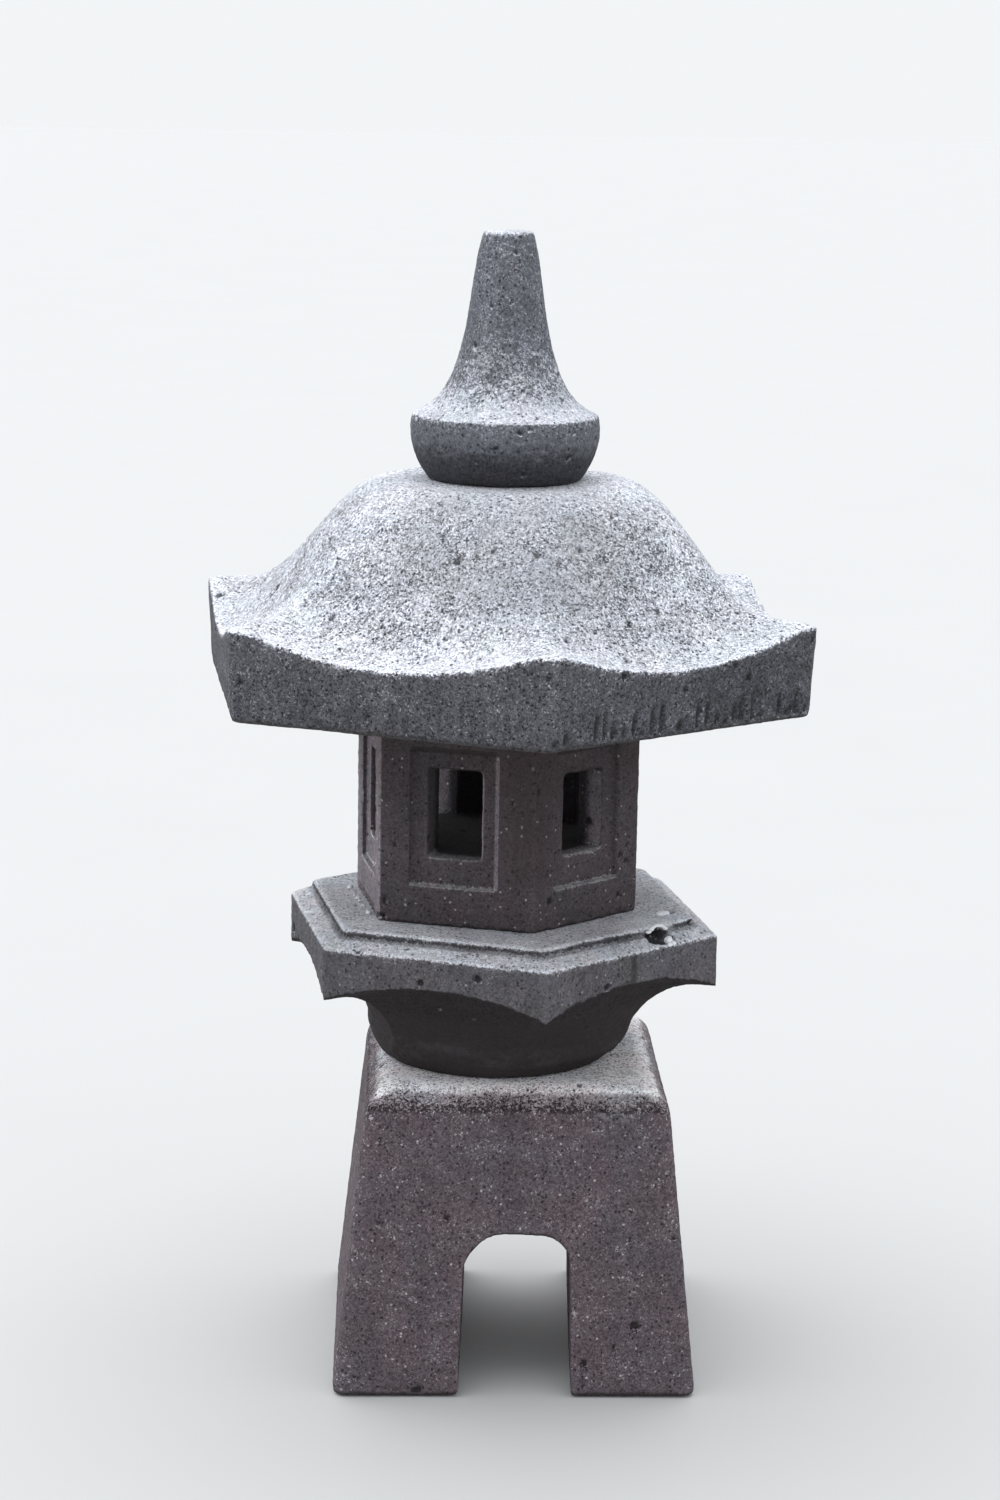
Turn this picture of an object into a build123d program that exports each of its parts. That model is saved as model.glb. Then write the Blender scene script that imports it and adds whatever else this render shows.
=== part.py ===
"""A stacked stone garden lantern: base, platform, light chamber, roof and finial, with a tealight inside.

Millimetres, +Z up. The origin is on the ground, under the stack's vertical axis, and the base's arch runs
nearly along Y. Each stone stands on the one below with a round tenon in a mortise, and each is turned a
little about the axis, as a stack set down by hand is. The base's mortise is cut a little off the middle of
its block.
"""
from build123d import *
from math import atan2, cos, hypot, pi, radians, sin, tan
import os

# Heights of the five stones, from the ground up
base_height = 245
platform_height = 124
chamber_height = 170
roof_height = 169
finial_height = 192

# How far each hexagonal stone is turned about the lantern's axis, in degrees
platform_turn = 9.6
chamber_turn = 11.5
roof_turn = 6.2

# Tenons under the platform and the chamber, and their mortises
tenon_radius = 27.5
tenon_length = 25
tenon_play = 2.5
mortise_depth = tenon_length + 4

# How far cutters and blanks run past the stone they shape
overrun = 10

# Base: how far its middle stands beside the stack's axis, half widths of the block, and the arch with its
# turn about Z in degrees
base_offset = 15.4
base_foot_half = 143.4
base_shoulder_half = 119.7
base_shoulder_z = 222
base_corner_radius = 9
base_shoulder_steps = 8
arch_foot_half = 44
arch_top_half = 41
arch_height = 129
arch_lean = 4
arch_turn = 2.2
arch_wide_radius = 34
arch_tight_radius = 22
leg_edge_radius = 5

# Platform: round neck, scalloped hexagonal slab and raised tier, which stand a little beside the axis
platform_offset = 2.6
neck_foot_radius = 93
neck_top_radius = 99
neck_top_height = 10
slab_corner = 181.4
slab_corner_height = 59
slab_middle_height = 75.5
slab_flare = 2.9
slab_edge_z = base_height + 111
slab_ledge_rise = 6
tier_corner = 163.1
tier_bevel = 2.5

# Light chamber: its outline stands a little beside the axis, and two of its front corners were cut off true
chamber_offset = -1.9
chamber_corner = 117.3
chamber_corner_moves = (2.7, 0, 0, 0, 0, -5.5)
chamber_edge_radius = 2.5
chamber_bore = 72
window_width = 43
window_heights = (64, 70, 70, 70, 70, 70)
window_sills = (55.5, 53, 53, 53, 53, 53)
panel_shifts = (0, 0, 0, 0, 0, -3)
panel_width = 69.5
panel_bottom = 31
panel_height = 108
panel_depth = 5

# Roof
roof_corner = 260.4
fascia_corner = 72
fascia_middle = 51
fascia_lean = 3.2
fascia_edge_radius = 7
fascia_bottom_radius = 5
crown_radius = 90
crown_gap = 0.3
crest_rise = 24
crest_rise_at_corner = 20.5
crest_turn = 0.85
boss_radius = 69.5
boss_length = 12

# Finial: bowl, ridge and spire, as heights above its foot
finial_foot_radius = 60
ridge_radius = 74.4
ridge_height = 46
spire_tip_radius = 20
spire_tip_edge = 2
finial_tenon_radius = 24.5
finial_tenon_length = 35

# Tealight: it stands off the middle, towards the window it goes in and out through
tealight_out = 20
cup_radius = 19
cup_height = 16
cup_wall = 0.4
wax_height = 12.5
wick_radius = 0.8
wick_rise = 8
tab_radius = 6
tab_thickness = 0.3

# Spacing of the points that shape the carved surfaces
roof_pitch = 9
scoop_pitch = 10

platform_z = base_height
chamber_z = platform_z + platform_height
roof_z = chamber_z + chamber_height
finial_z = roof_z + roof_height
floor_height = min(window_sills)
floor_z = chamber_z + floor_height
hexagon = 6
half_side_angle = radians(30)
slab_apothem = slab_corner * cos(half_side_angle)


def hexagon_rotation(turn):
    """The rotation that puts a hexagon's corner at the front, turned by turn degrees."""
    return turn - 90


def face_angle(x, y, turn):
    """How far a point lies from the middle of the nearest hexagon face, as an angle from -30 to 30 degrees."""
    sector = radians(60)
    angle = atan2(y, x) - radians(hexagon_rotation(turn)) - half_side_angle
    return (angle + sector / 2) % sector - sector / 2


def carved_surface(height, reach, pitch):
    """A smooth face z = height(x, y) over a square that reaches past the stone."""
    steps = round(2 * reach / pitch)
    places = [reach * (2 * i / steps - 1) for i in range(steps + 1)]
    rows = [[(x, y, height(x, y)) for y in places] for x in places]
    return Face.make_surface_from_array_of_points(rows, tol=0.05)


def roof_height_at(x, y):
    """The roof's top: a round dome that falls in an S-curve to the eaves, with six crests to the corners."""
    r = hypot(x, y)
    eave = roof_corner * cos(half_side_angle)
    fall = min(max((r - crown_radius) / (eave - crown_radius), 0), 1)
    dome = roof_z + fascia_middle + (roof_height - crown_gap - fascia_middle) * (1 + cos(pi * fall)) / 2
    side = abs(tan(face_angle(x, y, roof_turn))) / tan(half_side_angle)
    crest = (side**2 - max(side - crest_turn, 0) ** 2 / (1 - crest_turn)) / crest_turn
    outer = min(max((r - eave) / (roof_corner - eave), 0), 1)
    rise = crest_rise * fall**2 * (3 - 2 * fall) - (crest_rise - crest_rise_at_corner) * outer
    return dome + rise * crest


def slab_underside_at(reach, side):
    """The platform's underside, on a plane across a face at reach, side from -1 to 1 between the two corners."""
    offset = reach * tan(half_side_angle) * side
    r = hypot(reach, offset)
    edge = slab_apothem * r / reach
    height = slab_middle_height - (slab_middle_height - slab_corner_height) * side**2
    out = min((r - neck_top_radius) / (edge - neck_top_radius), 1)
    return offset, platform_z + neck_top_height + height * (1 - (1 - out) ** slab_flare)


def base_half_at(z):
    """The base's half width at a height: straight sides, then a round shoulder."""
    lean = (base_foot_half - base_shoulder_half) / base_shoulder_z
    straight = base_foot_half - lean * z
    shoulder = base_height - base_shoulder_z
    up = max(z - base_shoulder_z, 0) / shoulder
    return straight - shoulder * (1 - (1 - up**2) ** 0.5)


# Base
section_heights = [0] + [
    base_shoulder_z + (base_height - base_shoulder_z) * sin(pi / 2 * step / base_shoulder_steps)
    for step in range(base_shoulder_steps + 1)
]
arch_angle = radians(arch_turn)
arch_plane = Plane(
    (base_offset + base_foot_half * tan(arch_angle), 0, 0),
    x_dir=(cos(arch_angle), -sin(arch_angle), 0),
    z_dir=(-sin(arch_angle), -cos(arch_angle), 0),
)
with BuildPart() as base:
    for z in section_heights:
        with BuildSketch(Plane((base_offset, 0, z))):
            RectangleRounded(2 * base_half_at(z), 2 * base_half_at(z), base_corner_radius)
    loft(ruled=True)
    with BuildSketch(arch_plane):
        with BuildLine():
            arch = FilletPolyline(
                (-arch_foot_half, 0),
                (-arch_top_half, arch_height + arch_lean / 2),
                (arch_top_half, arch_height - arch_lean / 2),
                (arch_foot_half, 0),
                radius=[arch_wide_radius, arch_tight_radius],
            )
            Line(arch @ 1, arch @ 0)
        make_face()
    extrude(amount=base_foot_half + overrun, both=True, mode=Mode.SUBTRACT)
    fillet(base.faces().sort_by(Axis.Z)[:2].edges(), radius=leg_edge_radius)
    with Locations((0, 0, base_height)):
        Hole(radius=tenon_radius + tenon_play, depth=mortise_depth)
base.part.label = "base"

# Platform
scoop_floor = platform_z - 60
with BuildPart() as scoop:
    for step in range(8):
        reach = slab_apothem + 2 - scoop_pitch * step
        arch_points = [slab_underside_at(reach, side / 4) for side in range(-4, 5)]
        first = arch_points[0]
        last = arch_points[-1]
        with BuildSketch(Plane.YZ.offset(reach)):
            with BuildLine():
                Spline(arch_points)
                Polyline(last, (last[0], scoop_floor), (first[0], scoop_floor), first)
            make_face()
    loft()

with BuildPart() as platform:
    with BuildSketch(Plane((platform_offset, 0, platform_z + neck_top_height))):
        RegularPolygon(slab_corner, hexagon, rotation=hexagon_rotation(platform_turn))
    extrude(amount=slab_edge_z - platform_z - neck_top_height)
    with Locations(Location((platform_offset, 0, 0), (0, 0, hexagon_rotation(platform_turn) + 30))):
        with PolarLocations(0, hexagon):
            add(scoop.part, mode=Mode.SUBTRACT)
    with BuildSketch(Plane.XZ):
        with BuildLine():
            Polyline(
                (0, slab_edge_z),
                (0, platform_z),
                (neck_foot_radius - 3, platform_z),
                (neck_foot_radius, platform_z + 2),
            )
            Spline(
                (neck_foot_radius, platform_z + 2),
                (neck_top_radius, platform_z + 1.2 * neck_top_height),
                (neck_top_radius + 4, platform_z + 2.4 * neck_top_height),
            )
            Polyline(
                (neck_top_radius + 4, platform_z + 2.4 * neck_top_height),
                (neck_top_radius + 4, slab_edge_z),
                (0, slab_edge_z),
            )
        make_face()
    revolve(axis=Axis.Z)
    for z, corner in ((slab_edge_z, slab_corner), (slab_edge_z + slab_ledge_rise, tier_corner + 3)):
        with BuildSketch(Plane((platform_offset, 0, z))):
            RegularPolygon(corner, hexagon, rotation=hexagon_rotation(platform_turn))
    loft()
    with BuildSketch(Plane((platform_offset, 0, slab_edge_z))):
        RegularPolygon(tier_corner, hexagon, rotation=hexagon_rotation(platform_turn))
    extrude(amount=chamber_z - slab_edge_z)
    chamfer(platform.faces().sort_by(Axis.Z)[-1].edges(), length=tier_bevel)
    with Locations((0, 0, chamber_z)):
        Hole(radius=tenon_radius + tenon_play, depth=mortise_depth)
    with Locations((0, 0, platform_z)):
        Cylinder(tenon_radius, tenon_length, align=(Align.CENTER, Align.CENTER, Align.MAX))
platform.part.label = "platform"

# Light chamber
chamber_corners = []
for k, move in enumerate(chamber_corner_moves):
    angle = radians(hexagon_rotation(chamber_turn) + 60 * k)
    aside = chamber_offset + chamber_corner * cos(angle) + move
    chamber_corners.append(Vector(aside, chamber_corner * sin(angle)))
panel_planes = []
for k, shift in enumerate(panel_shifts):
    first = chamber_corners[k]
    second = chamber_corners[(k + 1) % hexagon]
    along = (second - first).normalized()
    middle = (first + second) / 2 + along * shift
    outward = Vector(along.Y, -along.X)
    panel_planes.append(Plane(origin=(middle.X, middle.Y, chamber_z), x_dir=along, z_dir=outward))
bottom_middle = (Align.CENTER, Align.MIN)
with BuildPart() as light_chamber:
    with BuildSketch(Plane.XY.offset(chamber_z)):
        Polygon(*[(corner.X, corner.Y) for corner in chamber_corners], align=None)
    extrude(amount=chamber_height)
    fillet(light_chamber.edges().filter_by(Axis.Z), radius=chamber_edge_radius)
    with BuildSketch(*panel_planes):
        with Locations((0, panel_bottom)):
            Rectangle(panel_width, panel_height, align=bottom_middle)
    extrude(amount=-panel_depth, mode=Mode.SUBTRACT)
    for plane, height, sill in zip(panel_planes, window_heights, window_sills):
        with BuildSketch(plane):
            with Locations((0, sill)):
                Rectangle(window_width, height, align=bottom_middle)
        extrude(amount=-chamber_corner * cos(half_side_angle), mode=Mode.SUBTRACT)
    with BuildSketch(Plane.XY.offset(chamber_z)):
        Circle(chamber_bore)
    extrude(amount=floor_height)
    with Locations((0, 0, chamber_z + chamber_height)):
        Hole(radius=chamber_bore, depth=chamber_height - floor_height)
    with Locations((0, 0, chamber_z)):
        Cylinder(tenon_radius, tenon_length, align=(Align.CENTER, Align.CENTER, Align.MAX))
light_chamber.part.label = "light_chamber"

# Roof
roof_top = carved_surface(roof_height_at, roof_corner + 16, roof_pitch)
fascia_bottom_corner = roof_corner - (fascia_corner + 1) * tan(radians(fascia_lean)) / cos(half_side_angle)
with BuildPart() as roof:
    with BuildSketch(Plane.XY.offset(roof_z)):
        RegularPolygon(fascia_bottom_corner, hexagon, rotation=hexagon_rotation(roof_turn))
    extrude(amount=roof_height + overrun, taper=-fascia_lean)
    upright_edges = roof.edges().filter_by(lambda edge: edge.bounding_box().size.Z > roof_height)
    fillet(upright_edges, radius=fascia_edge_radius)
    fillet(roof.faces().sort_by(Axis.Z)[0].edges(), radius=fascia_bottom_radius)
    split(bisect_by=roof_top, keep=Keep.BOTTOM)
    with Locations((0, 0, roof_z)):
        Cylinder(boss_radius, boss_length, align=(Align.CENTER, Align.CENTER, Align.MAX))
    with Locations((0, 0, finial_z)):
        Hole(radius=finial_tenon_radius + tenon_play, depth=finial_tenon_length + 3)
roof.part.label = "roof"

# Finial
with BuildPart() as finial:
    with BuildSketch(Plane.XZ):
        with BuildLine():
            Polyline(
                (finial_foot_radius, finial_z),
                (0, finial_z),
                (0, finial_z + finial_height),
                (spire_tip_radius - spire_tip_edge, finial_z + finial_height),
                (spire_tip_radius, finial_z + finial_height - spire_tip_edge),
            )
            Spline(
                (spire_tip_radius, finial_z + finial_height - spire_tip_edge),
                (30, finial_z + 130),
                (38.5, finial_z + 92),
                (52.5, finial_z + 64.5),
                (ridge_radius - 1.5, finial_z + ridge_height + 4.5),
            )
            Spline(
                (ridge_radius - 1.5, finial_z + ridge_height + 4.5),
                (ridge_radius, finial_z + ridge_height - 4),
                (70.5, finial_z + 18),
                (finial_foot_radius, finial_z),
            )
        make_face()
    revolve(axis=Axis.Z)
    with Locations((0, 0, finial_z)):
        Cylinder(finial_tenon_radius, finial_tenon_length, align=(Align.CENTER, Align.CENTER, Align.MAX))
finial.part.label = "finial"

# Tealight
window_angle = radians(chamber_turn)
tealight_x = tealight_out * cos(window_angle)
tealight_y = tealight_out * sin(window_angle)
cup_floor_z = floor_z + cup_wall
standing = (Align.CENTER, Align.CENTER, Align.MIN)
with BuildPart() as tealight_cup:
    with Locations((tealight_x, tealight_y, floor_z)):
        Cylinder(cup_radius, cup_height, align=standing)
    with Locations((tealight_x, tealight_y, floor_z + cup_height)):
        Hole(radius=cup_radius - cup_wall, depth=cup_height - cup_wall)
tealight_cup.part.label = "tealight_cup"

with BuildPart() as tealight_wick_tab:
    with Locations((tealight_x, tealight_y, cup_floor_z)):
        Cylinder(tab_radius, tab_thickness, align=standing)
tealight_wick_tab.part.label = "tealight_wick_tab"

with BuildPart() as tealight_wick:
    with Locations((tealight_x, tealight_y, cup_floor_z + tab_thickness)):
        Cylinder(wick_radius, wax_height + wick_rise, align=standing)
tealight_wick.part.label = "tealight_wick"

with BuildPart() as tealight_wax:
    with Locations((tealight_x, tealight_y, cup_floor_z)):
        Cylinder(cup_radius - cup_wall, wax_height, align=standing)
    add(tealight_wick_tab.part, mode=Mode.SUBTRACT)
    add(tealight_wick.part, mode=Mode.SUBTRACT)
tealight_wax.part.label = "tealight_wax"

pieces = [
    base,
    platform,
    light_chamber,
    roof,
    finial,
    tealight_cup,
    tealight_wax,
    tealight_wick,
    tealight_wick_tab,
]
os.makedirs("parts", exist_ok=True)
for piece in pieces:
    export_step(piece.part, f"parts/{piece.part.label}.step")
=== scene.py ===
"""The stone lantern's looks: five carved, pitted and weathered lava stones, and a tealight."""
import math

import bmesh
import bpy
import numpy as np
from mathutils import Euler, Matrix, Vector


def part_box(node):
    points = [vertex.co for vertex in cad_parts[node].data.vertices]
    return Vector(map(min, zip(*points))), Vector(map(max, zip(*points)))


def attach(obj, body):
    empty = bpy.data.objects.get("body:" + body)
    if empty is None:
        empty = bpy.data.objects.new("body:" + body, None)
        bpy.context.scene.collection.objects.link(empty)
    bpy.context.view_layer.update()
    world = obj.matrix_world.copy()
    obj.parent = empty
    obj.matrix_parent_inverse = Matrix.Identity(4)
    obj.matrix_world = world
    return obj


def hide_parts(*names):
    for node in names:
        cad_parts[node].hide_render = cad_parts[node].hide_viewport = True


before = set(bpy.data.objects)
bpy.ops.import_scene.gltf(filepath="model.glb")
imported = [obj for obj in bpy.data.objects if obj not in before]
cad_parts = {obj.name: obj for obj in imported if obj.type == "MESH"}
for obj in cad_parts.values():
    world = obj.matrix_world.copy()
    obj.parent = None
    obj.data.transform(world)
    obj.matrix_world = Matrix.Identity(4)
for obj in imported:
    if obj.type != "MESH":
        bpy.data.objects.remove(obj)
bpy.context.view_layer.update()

MM = 0.001
scene = bpy.context.scene

# The turns of the hexagonal stones about the stack's axis, in degrees, as in the CAD model
ROOF_TURN = 6.2
PLATFORM_TURN = 9.6
CHAMBER_TURN = 11.5

# Where the stones and the tealight begin and end
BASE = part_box("base")
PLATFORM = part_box("platform")
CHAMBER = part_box("light_chamber")
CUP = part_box("tealight_cup")
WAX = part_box("tealight_wax")
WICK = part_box("tealight_wick")
BASE_TOP = BASE[1].z
TIER_TOP = PLATFORM[1].z
CHAMBER_FOOT = TIER_TOP
ROOF_FOOT = CHAMBER[1].z
TIER_STEP = 13 * MM
SLAB_TOP = TIER_TOP - TIER_STEP

# The platform's middle beside the stack's axis, and how far its tier's sides stand from that middle
PLATFORM_ASIDE = 2.6 * MM
TIER_CORNER = 163.1 * MM
TIER_APOTHEM = TIER_CORNER * math.cos(math.radians(30))

# Faces of a hexagonal stone, counted from the one at the front right
FRONT_RIGHT = 0
FAR_LEFT = 4

# Breaks in the platform: centre, turn about Z, half sizes, depth, and whether only upright faces give way
TIER_SIDE_TURN = math.radians(PLATFORM_TURN + 30)
HOLE = ((0.1240, -0.0880, SLAB_TOP + 3 * MM), TIER_SIDE_TURN, (13 * MM, 9 * MM, 9 * MM), 9 * MM, False)
SLOT = ((0.1310, -0.0435, TIER_TOP), math.radians(25), (9 * MM, 6 * MM, 5 * MM), 4 * MM, False)
BROKEN_CORNER = ((0.1570, -0.0570, TIER_TOP - 3 * MM), 0.0, (9 * MM, 10 * MM, 8 * MM), 5 * MM, True)

# How fine the stones' grain is, in cells to the metre
GRAINS = 620
SPECKS = 1150
PORES = 330
FLECKS = 260


# ---------------------------------------------------------------- noise for shaping the stones
def cell_number(cells, seed):
    """A repeatable random number from 0 to 1 for each cell. Large odd factors scatter its neighbours."""
    c = cells.astype(np.uint32)
    mixed = c[:, 0] * np.uint32(73856093) ^ c[:, 1] * np.uint32(19349663) ^ c[:, 2] * np.uint32(83492791)
    mixed = mixed ^ np.uint32(seed * 26544357 % 2**32)
    mixed = (mixed ^ (mixed >> np.uint32(15))) * np.uint32(2246822519)
    mixed = (mixed ^ (mixed >> np.uint32(13))) * np.uint32(3266489917)
    return (mixed ^ (mixed >> np.uint32(16))) / float(2**32)


def noise(points, size, seed):
    """Smooth noise from -1 to 1 whose lumps are about size across."""
    scaled = points / size
    low = np.floor(scaled)
    part = scaled - low
    part = part * part * (3 - 2 * part)
    low = low.astype(np.int64)
    total = np.zeros(len(points))
    for corner in np.ndindex(2, 2, 2):
        weight = np.prod(np.where(corner, part, 1 - part), axis=1)
        total += weight * cell_number(low + corner, seed)
    return 2 * total - 1


def pores(points, spacing, share, seed):
    """How deep each point lies in uneven pores, as a part of spacing. A share of the cells holds a pore."""
    wander = [noise(points, 0.3 * spacing, seed + k) for k in (6, 7, 8)]
    points = points + 0.1 * spacing * np.stack(wander, axis=1)
    turn = np.array(Euler((seed, 2.3 * seed, 0.7 * seed)).to_matrix())
    scaled = points @ turn.T / spacing
    cell = np.floor(scaled).astype(np.int64)
    centre = np.stack([0.36 + 0.28 * cell_number(cell, seed + k) for k in (1, 2, 3)], axis=1)
    radius = 0.12 + 0.24 * cell_number(cell, seed + 4) ** 2
    away = np.linalg.norm(scaled - cell - centre, axis=1) / radius
    bowl = np.sqrt(np.clip(1 - away**2, 0, 1))
    return np.where(cell_number(cell, seed + 5) < share, bowl * radius, 0)


def ramp(values, low, high):
    """0 at low and under, 1 at high and over, with soft ends."""
    t = np.clip((values - low) / (high - low), 0, 1)
    return t * t * (3 - 2 * t)


# ---------------------------------------------------------------- mesh work
def averaged(values, edges, rounds, amount):
    """Values at the vertices, each moved towards the mean of its neighbours."""
    a, b = edges[:, 0], edges[:, 1]
    count = np.bincount(edges.ravel(), minlength=len(values))
    flat = values.reshape(len(values), -1).copy()
    for _ in range(rounds):
        for k in range(flat.shape[1]):
            total = np.bincount(a, flat[b, k], len(values)) + np.bincount(b, flat[a, k], len(values))
            flat[:, k] += amount * (total / count - flat[:, k])
    return flat.reshape(values.shape)


def vertex_array(mesh, field):
    values = np.empty(len(mesh.vertices) * 3)
    mesh.vertices.foreach_get(field, values)
    return values.reshape(-1, 3)


def edge_array(mesh):
    pairs = np.empty(len(mesh.edges) * 2, np.int64)
    mesh.edges.foreach_get("vertices", pairs)
    return pairs.reshape(-1, 2)


def new_piece(name, mesh, body, slot, material, *nodes):
    """A piece of the object in the scene: it rides on a body and may stand for CAD nodes."""
    piece = bpy.data.objects.new(name, mesh)
    scene.collection.objects.link(piece)
    mesh.materials.clear()
    mesh.materials.append(material)
    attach(piece, body)
    if nodes:
        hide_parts(*nodes)
    return piece


def even_mesh(node, grid):
    """A fine, even mesh in the shape of a CAD stone."""
    shape = bmesh.new()
    shape.from_mesh(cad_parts[node].data)
    bmesh.ops.remove_doubles(shape, verts=shape.verts, dist=0.01 * MM)
    rough = bpy.data.meshes.new(node + "_rough")
    shape.to_mesh(rough)
    shape.free()
    holder = bpy.data.objects.new(node + "_rough", rough)
    scene.collection.objects.link(holder)
    remesh = holder.modifiers.new("even", "REMESH")
    remesh.mode = "VOXEL"
    remesh.voxel_size = grid
    graph = bpy.context.evaluated_depsgraph_get()
    mesh = bpy.data.meshes.new_from_object(holder.evaluated_get(graph), depsgraph=graph)
    bpy.data.objects.remove(holder)
    bpy.data.meshes.remove(rough)
    return mesh


def store(mesh, name, values):
    """Numbers for the material, one for each vertex."""
    mesh.attributes.new(name, "FLOAT", "POINT").data.foreach_set("value", values.astype(np.float32))


def carve(node, body, slot, material, grid, seed, wear=1.0, rough=1.0, porous=1.0, marks=None):
    """One stone: the CAD shape with worn edges, chips, hand-cut unevenness, grain and open pores."""
    mesh = even_mesh(node, grid)
    edges = edge_array(mesh)
    points = vertex_array(mesh, "co")
    for amount in (0.5, -0.53) * 3:
        points = averaged(points, edges, 1, amount)
    mesh.vertices.foreach_set("co", points.ravel())
    mesh.update()
    normals = vertex_array(mesh, "normal")
    bulge = np.sum((points - averaged(points, edges, 3, 0.6)) * normals, axis=1)
    sharp = ramp(averaged(bulge, edges, 2, 0.5) / MM, 0.05, 0.3)
    chips = ramp(noise(points, 14 * MM, seed + 1), 0.3, 0.85)
    chips = chips * (0.6 + 0.4 * noise(points, 5 * MM, seed + 2))
    worn = 0.1 + 0.3 * ramp(noise(points, 40 * MM, seed), -0.4, 0.8) + 1.7 * chips
    depth = 0.2 * MM + wear * MM * sharp * worn
    depth += 0.3 * MM * noise(points, 75 * MM, seed + 3)
    depth += rough * MM * (0.2 * noise(points, 8 * MM, seed + 4) + 0.24 * noise(points, 3.4 * MM, seed + 5))
    large = pores(points, 21 * MM, 0.1 * porous, seed + 10) * 10 * MM
    small = pores(points, 9 * MM, 0.3 * porous, seed + 20) * 6.5 * MM
    holes = np.maximum(large, small)
    depth += holes
    shade_and_dirt = np.zeros(len(points))
    if marks:
        cut, shade_and_dirt = marks(points, normals)
        depth += cut
    points = points - normals * depth[:, None]
    low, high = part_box(node)
    points = np.clip(points, np.array(low) + 0.02 * MM, np.array(high) - 0.02 * MM)
    mesh.vertices.foreach_set("co", points.ravel())
    mesh.update()
    mesh.polygons.foreach_set("use_smooth", [True] * len(mesh.polygons))
    # How deep each pore is; the material darkens pores by this as painted shade
    store(mesh, "hole", np.clip(holes / MM / 1.5, 0, 1))
    store(mesh, "sharp", sharp)
    # Where the marks darken the colour: painted shade in breaks and grooves, grime and dark joints
    store(mesh, "shade_and_dirt", shade_and_dirt)
    return new_piece(node + "_stone", mesh, body, slot, material, node)


def face_places(points, turn):
    """For a hexagonal stone: which face each point is at, and how far along that face it lies."""
    first = math.radians(turn - 60)
    angle = np.arctan2(points[:, 1], points[:, 0]) - first
    face = np.round(angle / math.radians(60)).astype(np.int64) % 6
    direction = first + face * math.radians(60)
    along = -points[:, 0] * np.sin(direction) + points[:, 1] * np.cos(direction)
    return face, along


# ---------------------------------------------------------------- marks on single stones
def roof_marks(points, normals):
    """Tooth-chisel grooves up the foot of the fascia, deep on the front right face and shallow elsewhere.

    Painted shade darkens them, and the front right face is greyed.
    """
    face, along = face_places(points, ROOF_TURN)
    pitch = 9 * MM
    groove = np.floor(along / pitch).astype(np.int64)
    cells = np.stack([groove, face, np.zeros_like(face)], axis=1)
    across = along / pitch - groove - 0.35 - 0.3 * cell_number(cells, 1)
    half_width = 0.26 + 0.16 * cell_number(cells, 2)
    top = (10 + 26 * cell_number(cells, 3) ** 1.5) * MM
    up = points[:, 2] - ROOF_FOOT
    profile = np.clip(1 - (across / half_width) ** 2, 0, 1)
    strength = np.where(face == FRONT_RIGHT, 1.0, 0.4) * (cell_number(cells, 4) < 0.85)
    upright = ramp(1 - np.abs(normals[:, 2]), 0.5, 0.9)
    groove_here = profile * strength * (1 - ramp(up / top, 0.5, 1.0)) * upright
    grey = 0.22 * (face == FRONT_RIGHT) * ramp(along + 20 * MM, 0, 60 * MM) * upright
    # The grooves' darkening is painted shade; the front right face is made greyer
    return 2.8 * MM * groove_here, np.maximum(0.85 * groove_here, grey)


def chamber_marks(points, normals):
    """The open dark joint under the foot of the face at the far left."""
    face, _ = face_places(points, CHAMBER_TURN)
    up = points[:, 2] - CHAMBER_FOOT
    foot = (1 - ramp(up, 2.5 * MM, 6 * MM)) * (face == FAR_LEFT)
    foot = foot * ramp(noise(points, 16 * MM, 71), -0.5, 0.0) * (np.abs(normals[:, 2]) < 0.6)
    return 5 * MM * foot, foot


def platform_marks(points, normals):
    """The tier's broken hole, the slot above it and its broken corner, darkened with painted shade, and grime
    and painted shade along its foot.
    """
    depth = np.zeros(len(points))
    shade_and_dirt = np.zeros(len(points))
    for centre, turn, half_sizes, deep, upright_only in (HOLE, SLOT, BROKEN_CORNER):
        away = points - np.array(centre)
        c, s = math.cos(turn), math.sin(turn)
        u = away[:, 0] * c + away[:, 1] * s
        v = -away[:, 0] * s + away[:, 1] * c
        spans = (u / half_sizes[0], v / half_sizes[1], away[:, 2] / half_sizes[2])
        reach = np.sqrt(spans[0] ** 2 + spans[1] ** 2 + spans[2] ** 2)
        reach += 0.15 * noise(points, 5 * MM, 83)
        share = ramp(1 - np.abs(normals[:, 2]), 0.3, 0.7) if upright_only else 1.0
        inside = (1 - ramp(reach, 0.7, 1.1)) * share
        depth += deep * inside
        # The breaks are darkened with painted shade
        shade_and_dirt = np.maximum(shade_and_dirt, inside)
    middle = points[:, :2] - np.array((PLATFORM_ASIDE, 0))
    directions = np.radians(PLATFORM_TURN - 60 + 60 * np.arange(6))
    across = np.max(middle @ np.stack([np.cos(directions), np.sin(directions)]), axis=1)
    # Along the tier's foot a shallow groove, darkened with grime and painted shade
    joint = 1 - ramp(np.abs(across - TIER_APOTHEM - 1 * MM), 0.6 * MM, 2.2 * MM)
    joint = joint * (points[:, 2] < TIER_TOP - 2.5 * MM) * (points[:, 2] > SLAB_TOP - 2 * MM)
    depth += 0.8 * MM * joint
    return depth, np.maximum(shade_and_dirt, joint * (0.65 + 0.25 * noise(points, 25 * MM, 91)))


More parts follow.
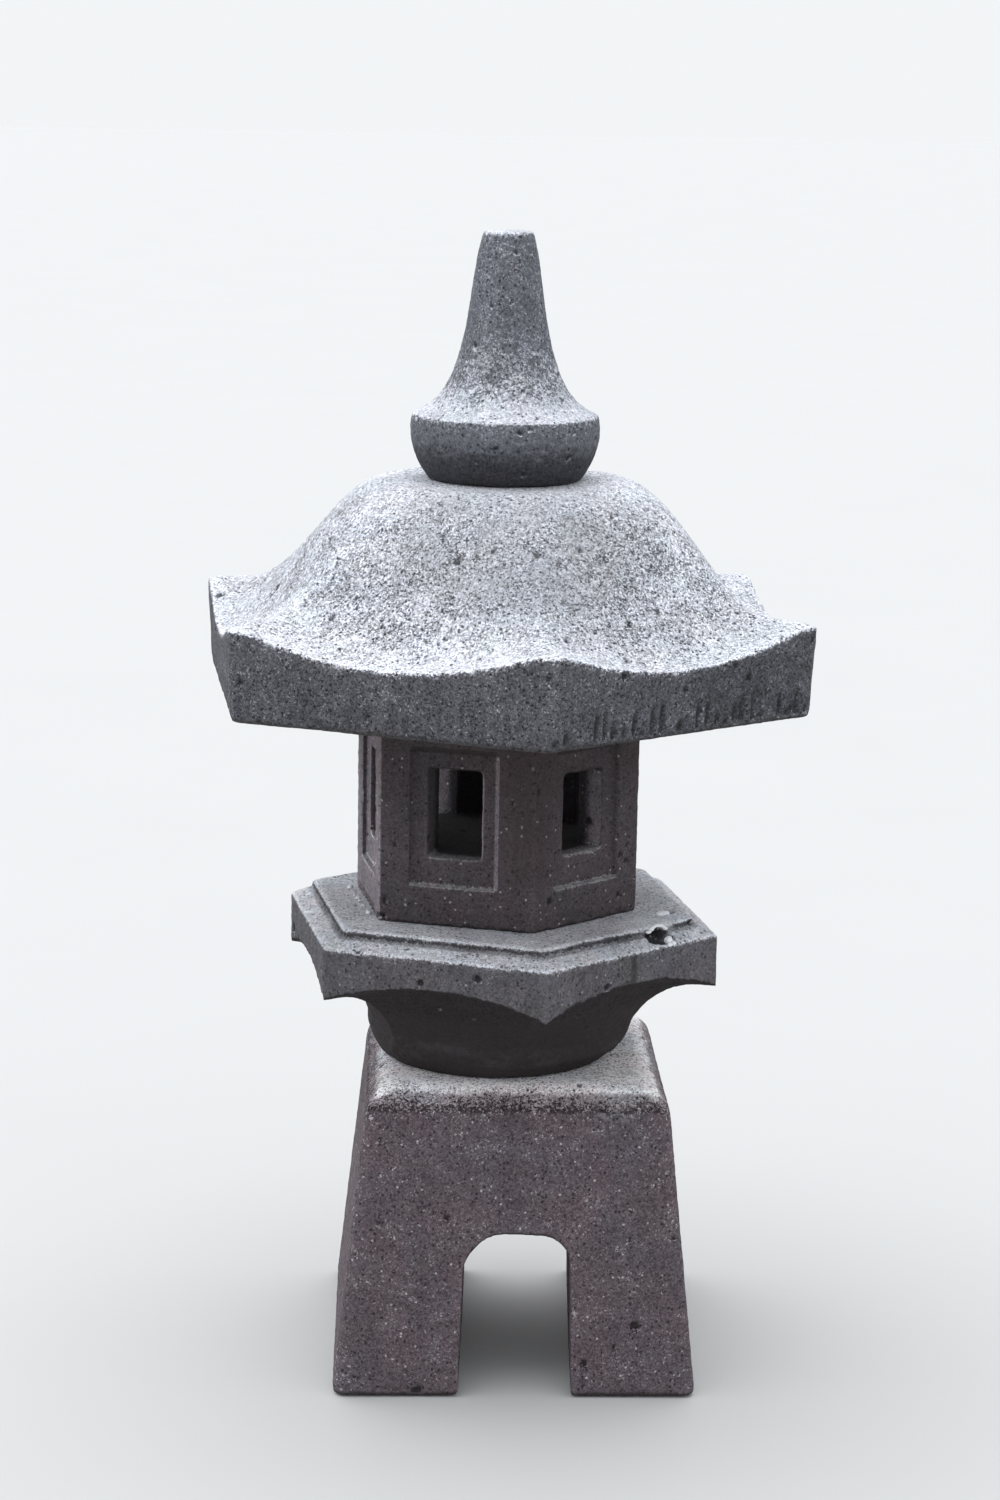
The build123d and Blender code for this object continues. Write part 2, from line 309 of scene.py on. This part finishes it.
# ---------------------------------------------------------------- materials
class Nodes:
    """Short calls that build a material's node tree."""

    def __init__(self, name):
        self.material = bpy.data.materials.new(name)
        self.material.use_nodes = True
        self.tree = self.material.node_tree
        self.shader = self.tree.nodes["Principled BSDF"]

    def new(self, kind, settings=(), **inputs):
        node = self.tree.nodes.new("ShaderNode" + kind)
        for key, value in dict(settings).items():
            setattr(node, key, value)
        for key, value in inputs.items():
            self.feed(node.inputs[key.replace("_", " ")], value)
        return node

    def feed(self, socket, value):
        if isinstance(value, bpy.types.NodeSocket):
            self.tree.links.new(value, socket)
        else:
            socket.default_value = value

    def sum(self, operation, *values, clamp=False):
        node = self.tree.nodes.new("ShaderNodeMath")
        node.operation = operation
        node.use_clamp = clamp
        for socket, value in zip(node.inputs, values):
            self.feed(socket, value)
        return node.outputs[0]

    def steps(self, value, low, high, to_low=0.0, to_high=1.0):
        node = self.new("MapRange", {"interpolation_type": "SMOOTHSTEP"})
        for key, number in (("From Min", low), ("From Max", high), ("To Min", to_low), ("To Max", to_high)):
            node.inputs[key].default_value = number
        self.feed(node.inputs["Value"], value)
        return node.outputs["Result"]

    def mixed(self, share, a, b, blend="MIX"):
        node = self.new("Mix", {"data_type": "RGBA", "blend_type": blend})
        self.feed(node.inputs["Factor"], share)
        for socket, value in ((node.inputs[6], a), (node.inputs[7], b)):
            self.feed(socket, (*value, 1) if isinstance(value, tuple) else value)
        return node.outputs[2]

    def noise(self, where, scale, detail=2.0):
        return self.new("TexNoise", Vector=where, Scale=scale, Detail=detail).outputs["Fac"]

    def cells(self, where, scale):
        """Distance from the middle of the nearest grain, and two random numbers for that grain."""
        node = self.new("TexVoronoi", Vector=where, Scale=scale)
        parts = self.new("SeparateColor", Color=node.outputs["Color"])
        return node.outputs["Distance"], parts.outputs[0], parts.outputs[1]

    def warped(self, where, scale, reach):
        """Coordinates pushed about by noise, so that grains come out uneven."""
        push = self.new("TexNoise", Vector=where, Scale=scale, Detail=1.0).outputs["Color"]
        moved = self.new("VectorMath", {"operation": "MULTIPLY_ADD"})
        self.feed(moved.inputs[0], push)
        moved.inputs[1].default_value = (reach, reach, reach)
        self.feed(moved.inputs[2], where)
        return moved.outputs[0]


def lava_stone(name, side, top, under, stain, flecks, streaks, tint, dust_and_light_bias, grit, extra=None):
    """Weathered lava stone: dusty grains and painted light on what faces up, painted shade under and in pores,
    pale flecks, stains and tints.
    """
    n = Nodes(name)
    where = n.new("TexCoord").outputs["Object"]
    facing = n.new("SeparateXYZ", Vector=n.new("NewGeometry").outputs["Normal"]).outputs["Z"]
    hole = n.new("Attribute", {"attribute_name": "hole"}).outputs["Fac"]
    sharp = n.new("Attribute", {"attribute_name": "sharp"}).outputs["Fac"]
    shade_and_dirt = n.new("Attribute", {"attribute_name": "shade_and_dirt"}).outputs["Fac"]
    uneven = n.warped(where, 700, 1.6 * MM)
    broad = n.noise(where, 11, 3)
    patchy = n.noise(where, 48, 4)
    fine = n.noise(where, 420, 3)
    grain_away, grain, grain_side = n.cells(uneven, GRAINS)
    _, speck, speck_side = n.cells(uneven, SPECKS)
    pore_away, pore, _ = n.cells(uneven, PORES)
    fleck_away, fleck, _ = n.cells(uneven, FLECKS)

    # The colour by how each grain faces: dusty grains and painted light on what faces up, and painted shade on
    # undersides
    lift = n.sum("MULTIPLY_ADD", n.sum("SUBTRACT", grain, 0.5), 0.7 * grit, n.sum("ADD", facing, dust_and_light_bias))
    lift = n.sum("MULTIPLY_ADD", n.sum("SUBTRACT", speck, 0.5), 0.6 * grit, lift)
    lift = n.sum("MULTIPLY_ADD", n.sum("SUBTRACT", patchy, 0.5), 0.6, lift)
    lit_and_dusty = n.steps(lift, 0.2, 0.66)
    shaded_under = n.steps(n.sum("MULTIPLY", facing, -1.0), 0.04, 0.4)
    # The top colour is partly dusty tone and partly painted light; the under colour is painted shade
    dust_and_painted_light = n.mixed(n.steps(facing, 0.0, 0.6), tuple(0.45 * c for c in top), top)
    colour = n.mixed(lit_and_dusty, side, dust_and_painted_light)
    colour = n.mixed(shaded_under, colour, under)

    # Tints, stains broad on all faces, and upright streaks on the sides
    tints = n.mixed(n.steps(n.noise(where, 21, 3), 0.36, 0.64), (1.22, 0.9, 0.92), (0.86, 0.98, 1.14))
    tints = n.mixed(n.steps(n.noise(where, 29, 3), 0.48, 0.74), tints, (0.92, 1.04, 0.88))
    colour = n.mixed(tint, colour, tints, "MULTIPLY")
    dark = n.steps(broad, 0.42, 0.66)
    colour = n.mixed(n.sum("MULTIPLY", dark, stain * 0.5), colour, tuple(0.5 * c for c in side))
    stretched = n.new("Mapping", Vector=where)
    stretched.inputs["Scale"].default_value = (80, 80, 5)
    streak = n.steps(n.noise(stretched.outputs[0], 1.0, 3), 0.52, 0.68)
    upright = n.sum("SUBTRACT", 1.0, n.sum("ABSOLUTE", facing))
    run = n.sum("MULTIPLY", n.sum("MULTIPLY", streak, upright), streaks)
    colour = n.mixed(run, colour, tuple(0.45 * c for c in side))

    # Grains, flecks, and painted shade in pores, holes and carved marks, with grime and dark joints
    light = n.sum("MULTIPLY_ADD", n.sum("SUBTRACT", grain_side, 0.5), 0.8 * grit, 1.0)
    light = n.sum("MULTIPLY_ADD", n.sum("SUBTRACT", speck_side, 0.5), 0.8 * grit, light)
    light = n.sum("MULTIPLY_ADD", n.sum("SUBTRACT", fine, 0.5), 0.7 * grit, light)
    light = n.sum("MULTIPLY_ADD", n.sum("SUBTRACT", patchy, 0.5), 0.5, light)
    light = n.sum("MULTIPLY_ADD", sharp, 0.2, light)
    grey = n.new("CombineColor", Red=light, Green=light, Blue=light).outputs[0]
    colour = n.mixed(1.0, colour, grey, "MULTIPLY")
    # Pores and carved holes are darkened as painted shade, deeper ones more
    open_pore = n.sum("MULTIPLY", n.steps(pore_away, 0.42, 0.28), n.steps(pore, 0.8, 0.84))
    deep = n.steps(hole, 0.35, 1.0, 0.0, 0.85)
    shade = n.sum("MAXIMUM", n.sum("MULTIPLY", open_pore, 0.5 + 0.35 * grit), deep)
    shade = n.sum("MAXIMUM", shade, n.sum("MULTIPLY", shade_and_dirt, 0.92))
    colour = n.mixed(shade, colour, tuple(0.2 * c for c in side))
    bright = n.sum("MULTIPLY", n.steps(fleck_away, 0.3, 0.2), n.steps(fleck, 0.93, 0.95))
    bright = n.sum("MULTIPLY", bright, n.sum("SUBTRACT", 1.0, shaded_under))
    colour = n.mixed(n.sum("MULTIPLY", bright, flecks), colour, (0.6, 0.58, 0.57))
    if extra:
        colour = extra(n, where, facing, patchy, colour)

    # Relief too small for the mesh
    height = n.sum("MULTIPLY_ADD", grain_away, -0.6, n.sum("MULTIPLY", fine, 0.8))
    height = n.sum("MULTIPLY_ADD", speck, 0.35, height)
    height = n.sum("SUBTRACT", height, n.sum("MULTIPLY", open_pore, 0.9))
    bump = n.new("Bump", Height=height)
    bump.inputs["Strength"].default_value = 0.8
    bump.inputs["Distance"].default_value = 1.2 * MM
    n.feed(n.shader.inputs["Normal"], bump.outputs[0])
    n.feed(n.shader.inputs["Base Color"], colour)
    n.feed(n.shader.inputs["Roughness"], n.steps(fine, 0.3, 0.7, 0.82, 0.98))
    n.shader.inputs["Specular IOR Level"].default_value = 0.25
    return n.material


def near(n, where, centre, reach):
    """1 at a place and 0 beyond reach of it, with a soft edge."""
    gap = n.new("VectorMath", {"operation": "DISTANCE"})
    n.feed(gap.inputs[0], where)
    gap.inputs[1].default_value = centre
    return n.steps(gap.outputs["Value"], reach, 0.45 * reach)


def across(n, where, point):
    """The distance from an upright line through a point, and the height above that point."""
    level = n.new("VectorMath", {"operation": "MULTIPLY"})
    n.feed(level.inputs[0], where)
    level.inputs[1].default_value = (1, 1, 0)
    gap = n.new("VectorMath", {"operation": "DISTANCE"})
    n.feed(gap.inputs[0], level.outputs[0])
    gap.inputs[1].default_value = (point[0], point[1], 0)
    up = n.sum("SUBTRACT", n.new("SeparateXYZ", Vector=where).outputs["Z"], point[2])
    return gap.outputs["Value"], up


# Touches to the colour of single stones. All take the same arguments, so that lava_stone can call any of them.
def roof_extra(n, where, facing, patchy, colour):
    """The steep front of the dome is darker, with painted shade."""
    spot = near(n, where, (0.01, -0.125, ROOF_FOOT + 0.14), 0.12)
    spot = n.sum("MULTIPLY", spot, n.steps(patchy, 0.3, 0.6, 0.1, 0.4))
    # Painted shade on the steep front
    return n.mixed(spot, colour, (0.2, 0.205, 0.22))


def chamber_extra(n, where, facing, patchy, colour):
    """Painted shade inside and towards the roof, darker stone at the front corner, and painted light on the
    far left face.
    """
    gap, up = across(n, where, (0, 0, CHAMBER_FOOT))
    # Painted shade inside the chamber
    inside = n.sum("MULTIPLY", n.steps(gap, 88 * MM, 78 * MM), n.steps(up, 30 * MM, 45 * MM))
    # Painted shade from the roof: darker towards the top
    high = n.steps(up, 40 * MM, 165 * MM, 0.0, 0.45)
    colour = n.mixed(high, colour, (0.03, 0.022, 0.022))
    # Painted light on the far left face, which faces the light
    lit_face_turn = math.radians(CHAMBER_TURN + 180)
    normal = n.new("NewGeometry").outputs["Normal"]
    to_left = n.new("VectorMath", {"operation": "DOT_PRODUCT"}, Vector=normal)
    to_left.inputs[1].default_value = (math.cos(lit_face_turn), math.sin(lit_face_turn), 0)
    pale = n.steps(to_left.outputs["Value"], 0.6, 0.9)
    colour = n.mixed(pale, colour, (3.2, 3.35, 3.4), "MULTIPLY")
    corner, _ = across(n, where, (0.02, -0.112, CHAMBER_FOOT))
    beside = n.steps(corner, 34 * MM, 8 * MM, 0.0, 0.4)
    stain = n.sum("MULTIPLY", beside, n.steps(up, 15 * MM, 60 * MM))
    colour = n.mixed(stain, colour, (0.04, 0.026, 0.024))
    # The inside is darkened with painted shade
    return n.mixed(n.sum("MULTIPLY", inside, 0.85), colour, (0.012, 0.011, 0.012))


def platform_extra(n, where, facing, patchy, colour):
    """Painted shade on the neck, pale residue by the tier's broken hole, and a dark run down the slab's edge
    below it.
    """
    level = n.new("SeparateXYZ", Vector=where).outputs["Z"]
    # Painted shade on the neck under the slab
    neck_shade = n.steps(level, BASE_TOP + 62 * MM, BASE_TOP + 45 * MM)
    colour = n.mixed(n.sum("MULTIPLY", neck_shade, 0.8), colour, (0.03, 0.025, 0.025))
    residue = near(n, where, (0.1165, -0.0745, TIER_TOP), 24 * MM)
    residue = n.sum("MULTIPLY", residue, n.steps(n.noise(where, 300, 3), 0.4, 0.54))
    residue = n.sum("MULTIPLY", residue, n.steps(level, TIER_TOP - 7 * MM, TIER_TOP - 3 * MM))
    colour = n.mixed(n.sum("MULTIPLY", residue, 0.75), colour, (0.85, 0.86, 0.89))
    gap, up = across(n, where, (0.1027, -0.121, SLAB_TOP))
    run = n.sum("MULTIPLY", n.steps(gap, 4.5 * MM, 1.5 * MM), n.steps(up, -46 * MM, -20 * MM))
    run = n.sum("MULTIPLY", run, n.steps(up, 1 * MM, -3 * MM))
    return n.mixed(n.sum("MULTIPLY", run, 0.65), colour, (0.035, 0.03, 0.028))


def base_extra(n, where, facing, patchy, colour):
    """Pale residue on the top of the base beside the platform's foot, and painted shade on the rounded
    shoulder.
    """
    spot = near(n, where, (0.09, -0.078, BASE_TOP), 0.055)
    spot = n.sum("MULTIPLY", spot, n.steps(n.noise(where, 190, 3), 0.5, 0.6))
    colour = n.mixed(n.sum("MULTIPLY", spot, 0.75), colour, (0.7, 0.69, 0.68))
    # Painted shade on the sloping shoulder, by how it faces
    shoulder = n.sum("MULTIPLY", n.steps(facing, 0.88, 0.7), n.steps(facing, 0.15, 0.4))
    return n.mixed(shoulder, colour, (0.36, 0.33, 0.34), "MULTIPLY")


# Each stone's top colour is dusty tone and painted light, and its under colour is painted shade
roof_stone = lava_stone(
    "roof_stone",
    side=(0.1, 0.101, 0.114),
    top=(0.7, 0.725, 0.79),
    under=(0.05, 0.048, 0.05),
    stain=0.3, flecks=0.3, streaks=0.25, tint=0.08, dust_and_light_bias=0.0, grit=1.05, extra=roof_extra,
)
finial_stone = lava_stone(
    "finial_stone",
    side=(0.14, 0.147, 0.168),
    top=(0.64, 0.665, 0.73),
    under=(0.05, 0.05, 0.057),
    stain=0.3, flecks=0.3, streaks=0.15, tint=0.1, dust_and_light_bias=0.0, grit=0.75,
)
chamber_stone = lava_stone(
    "chamber_stone",
    side=(0.084, 0.071, 0.077),
    top=(0.3, 0.29, 0.3),
    under=(0.03, 0.026, 0.026),
    stain=0.4, flecks=0.5, streaks=0.15, tint=0.2, dust_and_light_bias=-0.1, grit=0.6, extra=chamber_extra,
)
platform_stone = lava_stone(
    "platform_stone",
    side=(0.112, 0.107, 0.117),
    top=(0.63, 0.645, 0.69),
    under=(0.022, 0.018, 0.018),
    stain=0.35, flecks=0.4, streaks=0.3, tint=0.15, dust_and_light_bias=0.0, grit=0.65, extra=platform_extra,
)
base_stone = lava_stone(
    "base_stone",
    side=(0.117, 0.096, 0.109),
    top=(0.97, 0.96, 0.99),
    under=(0.045, 0.038, 0.038),
    stain=0.2, flecks=0.7, streaks=0.1, tint=0.2, dust_and_light_bias=-0.15, grit=0.8, extra=base_extra,
)


def plain_material(name, colour, roughness, metallic=0.0, grain=0.0, grain_scale=900):
    """A thin metal, wax or cotton finish, with faint variation and bump."""
    n = Nodes(name)
    where = n.new("TexCoord").outputs["Object"]
    fine = n.noise(where, grain_scale, 3)
    n.feed(n.shader.inputs["Base Color"], n.mixed(fine, tuple(0.88 * c for c in colour), colour))
    n.feed(n.shader.inputs["Roughness"], n.steps(fine, 0.3, 0.7, 0.8 * roughness, roughness))
    n.shader.inputs["Metallic"].default_value = metallic
    bump = n.new("Bump", Height=fine)
    bump.inputs["Strength"].default_value = grain
    bump.inputs["Distance"].default_value = 0.2 * MM
    n.feed(n.shader.inputs["Normal"], bump.outputs[0])
    return n.material


cup_metal = plain_material("cup_aluminium", (0.8, 0.8, 0.82), 0.35, 1.0, 0.2)
tab_metal = plain_material("tab_metal", (0.7, 0.7, 0.72), 0.4, 1.0, 0.2)
wax = plain_material("wax", (0.93, 0.91, 0.85), 0.55, 0.0, 0.15, 300)
wick_cotton = plain_material("wick", (0.85, 0.82, 0.74), 0.95, 0.0, 0.6, 2500)
mortar = plain_material("mortar", (0.92, 0.94, 0.97), 0.95, 0.0, 0.9, 700)

# ---------------------------------------------------------------- the five stones
carve("roof", "roof", "roof_stone", roof_stone, 2.6 * MM, seed=100, wear=0.9, porous=1.1, marks=roof_marks)
carve("finial", "finial", "finial_stone", finial_stone, 1.3 * MM, seed=200, wear=0.6, porous=1.0)
carve(
    "light_chamber", "chamber", "chamber_stone", chamber_stone, 1.8 * MM,
    seed=300, wear=0.7, porous=0.7, marks=chamber_marks,
)
carve(
    "platform", "platform", "platform_stone", platform_stone, 1.85 * MM,
    seed=400, wear=0.9, porous=0.9, marks=platform_marks,
)
carve("base", "base", "base_stone", base_stone, 2.2 * MM, seed=500, wear=1.1, porous=0.5)

# The wick's tab keeps its CAD shape
tab_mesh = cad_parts["tealight_wick_tab"].data
tab_mesh.materials.clear()
tab_mesh.materials.append(tab_metal)


# ---------------------------------------------------------------- tealight
def turned(outline, sides, wave=None):
    """A mesh turned about Z from (radius, height) points, where wave may change the radius at an angle."""
    mesh = bpy.data.meshes.new("turned")
    shape = bmesh.new()
    rings = []
    for radius, height in outline:
        ring = []
        for k in range(sides):
            angle = 2 * math.pi * k / sides
            r = radius + (wave(angle, radius, height) if wave else 0)
            ring.append(shape.verts.new((r * math.cos(angle), r * math.sin(angle), height)))
        rings.append(ring)
    for low, high in zip(rings, rings[1:]):
        for k in range(sides):
            m = (k + 1) % sides
            shape.faces.new((low[k], low[m], high[m], high[k]))
    shape.faces.new(list(reversed(rings[0])))
    shape.faces.new(rings[-1])
    bmesh.ops.recalc_face_normals(shape, faces=shape.faces)
    shape.to_mesh(mesh)
    shape.free()
    mesh.polygons.foreach_set("use_smooth", [True] * len(mesh.polygons))
    return mesh


cup_middle = (CUP[0] + CUP[1]) / 2
cup_radius = (CUP[1].x - CUP[0].x) / 2
cup_top = CUP[1].z
to_cup = Matrix.Translation((cup_middle.x, cup_middle.y, 0))
wall = 0.35 * MM
flutes = 36


def fluting(angle, radius, height):
    """Shallow pressed flutes round the cup's side."""
    side = radius > cup_radius - 2 * MM and CUP[0].z + 2 * MM < height < cup_top - 2 * MM
    return -0.25 * MM * (0.5 + 0.5 * math.cos(flutes * angle)) if side else 0


cup_outline = [
    (1 * MM, CUP[0].z),
    (cup_radius - 2.2 * MM, CUP[0].z),
    (cup_radius - 1.2 * MM, CUP[0].z + 0.4 * MM),
    (cup_radius - 0.9 * MM, CUP[0].z + 2.2 * MM),
    (cup_radius - 0.7 * MM, CUP[0].z + 8 * MM),
    (cup_radius - 0.6 * MM, cup_top - 2.2 * MM),
    (cup_radius - 0.5 * MM, cup_top - 1 * MM),
    (cup_radius, cup_top - 0.8 * MM),
    (cup_radius, cup_top - 0.2 * MM),
    (cup_radius - 0.6 * MM, cup_top),
    (cup_radius - 1.0 * MM, cup_top - 0.5 * MM),
    (cup_radius - 0.6 * MM - wall - 0.3 * MM, cup_top - 2.2 * MM),
    (cup_radius - 0.9 * MM - wall - 0.3 * MM, CUP[0].z + 2.2 * MM),
    (cup_radius - 2.6 * MM, CUP[0].z + 0.8 * MM),
    (1 * MM, CUP[0].z + 0.6 * MM),
]
cup_mesh = turned(cup_outline, 144, fluting)
cup_mesh.transform(to_cup)
new_piece("tealight_cup_pressed", cup_mesh, "tealight", "cup_aluminium", cup_metal, "tealight_cup")

wax_radius = cup_radius - 1.6 * MM
wax_top = WAX[1].z
wax_outline = [
    (1.2 * MM, WAX[0].z + 0.5 * MM),
    (wax_radius - 1 * MM, WAX[0].z + 0.5 * MM),
    (wax_radius - 0.3 * MM, WAX[0].z + 1.5 * MM),
    (wax_radius, wax_top - 0.5 * MM),
    (wax_radius - 0.1 * MM, wax_top),
    (wax_radius - 0.9 * MM, wax_top - 0.5 * MM),
    (wax_radius - 3 * MM, wax_top - 0.7 * MM),
    (6 * MM, wax_top - 0.9 * MM),
    (2.5 * MM, wax_top - 0.8 * MM),
    (1.0 * MM, wax_top - 0.1 * MM),
]
wax_mesh = turned(wax_outline, 96)
wax_mesh.transform(to_cup)
new_piece("tealight_wax_poured", wax_mesh, "tealight", "wax", wax, "tealight_wax")

wick_radius = (WICK[1].x - WICK[0].x) / 2
wick_steps = 24


def braid(angle, radius, height):
    """The wick's twisted strands."""
    return -0.15 * MM * (0.5 + 0.5 * math.cos(3 * angle + height / MM * 2.2))


wick_length = WICK[1].z - WICK[0].z
wick_outline = [(wick_radius, WICK[0].z + wick_length * k / wick_steps) for k in range(wick_steps)]
wick_outline.append((0.5 * wick_radius, WICK[0].z + wick_length))
wick_mesh = turned(wick_outline, 18, braid)
wick_mesh.transform(to_cup)
new_piece("tealight_wick_braided", wick_mesh, "tealight", "wick", wick_cotton, "tealight_wick")


# ---------------------------------------------------------------- crumbs of old mortar
def crumbs(name, places, seed):
    """Small broken lumps, joined into one piece."""
    shape = bmesh.new()
    random = np.random.default_rng(seed)
    for centre, size, turn in places:
        made = bmesh.ops.create_icosphere(shape, subdivisions=3, radius=1)["verts"]
        spots = np.array([v.co[:] for v in made])
        lumps = 1 + 0.28 * noise(spots + random.random(3) * 50, 0.7, seed)
        lumps += 0.12 * noise(spots + 9, 0.25, seed)
        rotation = Matrix.Rotation(turn, 3, "Z")
        for v, lump in zip(made, lumps):
            local = Vector(v.co[k] * size[k] * lump for k in range(3))
            v.co = rotation @ local + Vector(centre)
    mesh = bpy.data.meshes.new(name)
    shape.to_mesh(mesh)
    shape.free()
    mesh.polygons.foreach_set("use_smooth", [True] * len(mesh.polygons))
    return new_piece(name, mesh, "platform", "platform_stone", mortar)


# An arc of mortar over the broken hole
break_middle = np.array((0.1224, -0.0860, 0))
break_along = np.array((math.cos(TIER_SIDE_TURN), math.sin(TIER_SIDE_TURN), 0))
arc = []
for k in range(9):
    step = (k - 4) / 4
    spot = break_middle + break_along * 9.0 * MM * step
    spot[2] = TIER_TOP - 4.0 * MM * step**2 + 0.4 * MM
    arc.append((spot, (2.3 * MM, 1.7 * MM, 1.2 * MM), TIER_SIDE_TURN + 0.3 * step))

# Lumps at the hole's right, in front of the slot, and on the ledge at the far left
lumps = [
    ((0.1315, -0.0910, SLAB_TOP + 3.0 * MM), (3.2 * MM, 2.6 * MM, 3.2 * MM), 0.3),
    ((0.1350, -0.0920, SLAB_TOP + 1.2 * MM), (2.4 * MM, 2.0 * MM, 1.8 * MM), 1.1),
    ((0.1320, -0.0960, SLAB_TOP + 0.8 * MM), (2.2 * MM, 1.8 * MM, 1.5 * MM), 0.2),
    ((0.1290, -0.0510, TIER_TOP + 1.0 * MM), (6.2 * MM, 3.2 * MM, 2.2 * MM), 0.45),
    ((0.1230, -0.0520, TIER_TOP), (1.8 * MM, 1.3 * MM, 0.9 * MM), 0.1),
    ((-0.1490, -0.0177, SLAB_TOP + 3.9 * MM), (5.0 * MM, 1.4 * MM, 1.2 * MM), -0.15),
]

# Crumbs along the open joint at the chamber's far left
gap_start = np.array((-0.1195, 0.036))
gap_end = np.array((-0.1015, -0.060))
crumb_random = np.random.default_rng(7)
for k in range(11):
    along_gap = gap_start + (gap_end - gap_start) * (k + crumb_random.random()) / 11
    size = (0.7 + 1.3 * crumb_random.random() ** 2) * MM
    spot = (along_gap[0] + 2 * MM * (crumb_random.random() - 0.6), along_gap[1], TIER_TOP + 0.3 * size)
    lumps.append((spot, (1.4 * size, size, 0.8 * size), 3 * crumb_random.random()))
crumbs("mortar_crumbs", arc + lumps, 31)


# ---------------------------------------------------------------- floor, light and camera
def flat_material(name, colour):
    """A matt, nearly even finish for the floor."""
    n = Nodes(name)
    where = n.new("TexCoord").outputs["Object"]
    darker = tuple(0.97 * c for c in colour)
    n.feed(n.shader.inputs["Base Color"], n.mixed(n.noise(where, 2.5, 3), darker, colour))
    n.shader.inputs["Roughness"].default_value = 0.9
    return n.material


floor_mesh = bpy.data.meshes.new("floor")
reach = 40
floor_corners = [(-reach, -reach, 0), (reach, -reach, 0), (reach, reach, 0), (-reach, reach, 0)]
floor_mesh.from_pydata(floor_corners, [], [(0, 1, 2, 3)])
floor = bpy.data.objects.new("floor", floor_mesh)
floor_mesh.materials.append(flat_material("floor", (0.5692, 0.5722, 0.5757)))
scene.collection.objects.link(floor)


def sun(name, strength, spread, tilt, colour):
    """A distant lamp; spread and tilt are in degrees."""
    lamp = bpy.data.lights.new(name, "SUN")
    lamp.energy = strength
    lamp.angle = math.radians(spread)
    lamp.color = colour
    holder = bpy.data.objects.new(name, lamp)
    holder.rotation_euler = Euler([math.radians(a) for a in tilt])
    scene.collection.objects.link(holder)


sun("sky_above", 2.2, 90, (-18, -14, 0), (0.98, 0.99, 1.0))
world = bpy.data.worlds.new("soft_surround")
world.use_nodes = True
world.node_tree.nodes["Background"].inputs["Color"].default_value = (0.96, 0.98, 1.0, 1)
world.node_tree.nodes["Background"].inputs["Strength"].default_value = 0.93
scene.world = world
scene.view_settings.view_transform = "Standard"

# The camera stands 2.6 m in front, a little to the left, and looks slightly down (angles in radians)
CAMERA_AT = Vector((-0.0886, -2.6277, 1.0363))
CAMERA_DOWN = 0.20487
CAMERA_ASIDE = -0.03385
CAMERA_ROLL = 0.0175
LENS_MM = 80.89
camera = bpy.data.objects.new("camera", bpy.data.cameras.new("camera"))
camera.data.sensor_width = 36
camera.data.lens = LENS_MM
looking = Euler((math.pi / 2 - CAMERA_DOWN, 0, CAMERA_ASIDE)).to_matrix()
looking = looking @ Matrix.Rotation(CAMERA_ROLL, 3, "Z")
camera.matrix_world = Matrix.Translation(CAMERA_AT) @ looking.to_4x4()
scene.collection.objects.link(camera)
scene.camera = camera
